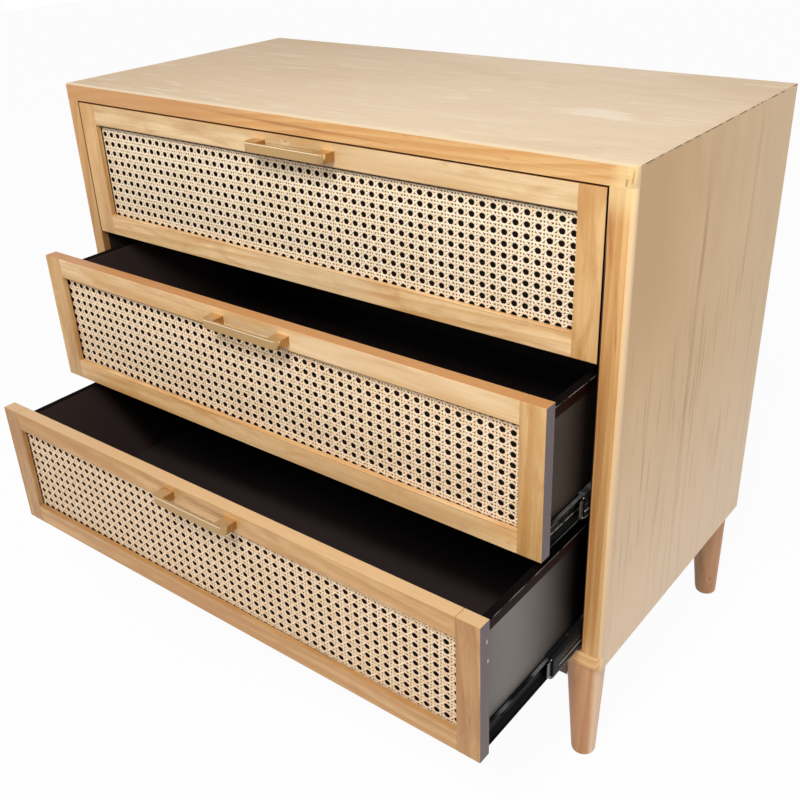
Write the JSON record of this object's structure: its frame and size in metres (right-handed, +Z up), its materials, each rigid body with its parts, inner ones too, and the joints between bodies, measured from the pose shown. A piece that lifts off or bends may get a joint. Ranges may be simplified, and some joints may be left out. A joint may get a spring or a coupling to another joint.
{
  "type": "chest of drawers",
  "caption": "Low wooden chest on tapered legs, with inset drawer fronts of framed woven cane, bar handles and ball-bearing slides; the lower drawers stand open.",
  "frame": {"origin": "on the floor, under the middle of the case", "axes": "+X along the front to the right as seen from the front, +Y from the front to the rear, +Z up"},
  "size_m": [0.8, 0.618, 0.71],
  "materials": {
    "pale_veneer": "matt pale wood veneer",
    "lipping_wood": "satin honey-coloured solid wood",
    "leg_wood": "satin turned solid wood",
    "frame_wood": "satin light solid wood",
    "cane": "pale woven rattan cane",
    "dark_stain": "near-black stained board",
    "handle_metal": "satin pale gold",
    "slide_steel": "semi-gloss black",
    "fastener_steel": "plain zinc"
  },
  "bodies": {
    "case": {"top_board": "pale_veneer", "left_side_board": "pale_veneer", "right_side_board": "pale_veneer", "bottom_board": "pale_veneer", "back_board": "dark_stain", "top_lipping": "lipping_wood", "left_lipping": "lipping_wood", "right_lipping": "lipping_wood", "bottom_lipping": "lipping_wood", "front_left_leg": "leg_wood", "front_right_leg": "leg_wood", "rear_left_leg": "leg_wood", "rear_right_leg": "leg_wood", "leg_bolts": "fastener_steel", "support_rail": "leg_wood", "top_drawer_case_slides": "slide_steel", "middle_drawer_case_slides": "slide_steel", "bottom_drawer_case_slides": "slide_steel"},
    "top_drawer": {"top_drawer_top_rail": "frame_wood", "top_drawer_bottom_rail": "frame_wood", "top_drawer_left_stile": "frame_wood", "top_drawer_right_stile": "frame_wood", "top_drawer_cane": "cane", "top_drawer_cane_backing": "dark_stain", "top_drawer_handle": "handle_metal", "top_drawer_handle_screws": "fastener_steel", "top_drawer_left_side": "dark_stain", "top_drawer_right_side": "dark_stain", "top_drawer_back": "dark_stain", "top_drawer_floor": "dark_stain", "top_drawer_box_slides": "slide_steel"},
    "middle_drawer": {"middle_drawer_top_rail": "frame_wood", "middle_drawer_bottom_rail": "frame_wood", "middle_drawer_left_stile": "frame_wood", "middle_drawer_right_stile": "frame_wood", "middle_drawer_cane": "cane", "middle_drawer_cane_backing": "dark_stain", "middle_drawer_handle": "handle_metal", "middle_drawer_handle_screws": "fastener_steel", "middle_drawer_left_side": "dark_stain", "middle_drawer_right_side": "dark_stain", "middle_drawer_back": "dark_stain", "middle_drawer_floor": "dark_stain", "middle_drawer_box_slides": "slide_steel"},
    "bottom_drawer": {"bottom_drawer_top_rail": "frame_wood", "bottom_drawer_bottom_rail": "frame_wood", "bottom_drawer_left_stile": "frame_wood", "bottom_drawer_right_stile": "frame_wood", "bottom_drawer_cane": "cane", "bottom_drawer_cane_backing": "dark_stain", "bottom_drawer_handle": "handle_metal", "bottom_drawer_handle_screws": "fastener_steel", "bottom_drawer_left_side": "dark_stain", "bottom_drawer_right_side": "dark_stain", "bottom_drawer_back": "dark_stain", "bottom_drawer_floor": "dark_stain", "bottom_drawer_box_slides": "slide_steel"},
    "top_slides": {"top_drawer_middle_slides": "slide_steel"},
    "middle_slides": {"middle_drawer_middle_slides": "slide_steel"},
    "bottom_slides": {"bottom_drawer_middle_slides": "slide_steel"}
  },
  "joints": [
    {"name": "top_drawer_run", "type": "slide", "parent": "case", "child": "top_drawer", "axis": [0, -1, 0], "range_m": [0, 0.35]},
    {"name": "top_slides_run", "type": "slide", "parent": "case", "child": "top_slides", "axis": [0, -1, 0], "range_m": [0, 0.175]},
    {"name": "middle_drawer_run", "type": "slide", "parent": "case", "child": "middle_drawer", "axis": [0, -1, 0], "range_m": [-0.092, 0.258]},
    {"name": "middle_slides_run", "type": "slide", "parent": "case", "child": "middle_slides", "axis": [0, -1, 0], "range_m": [-0.046, 0.129]},
    {"name": "bottom_drawer_run", "type": "slide", "parent": "case", "child": "bottom_drawer", "axis": [0, -1, 0], "range_m": [-0.198, 0.152]},
    {"name": "bottom_slides_run", "type": "slide", "parent": "case", "child": "bottom_slides", "axis": [0, -1, 0], "range_m": [-0.099, 0.076]}
  ],
  "couplings": [
    {"joint": "top_slides_run", "follows": "top_drawer_run", "ratio": 0.5},
    {"joint": "middle_slides_run", "follows": "middle_drawer_run", "ratio": 0.5},
    {"joint": "bottom_slides_run", "follows": "bottom_drawer_run", "ratio": 0.5}
  ]
}
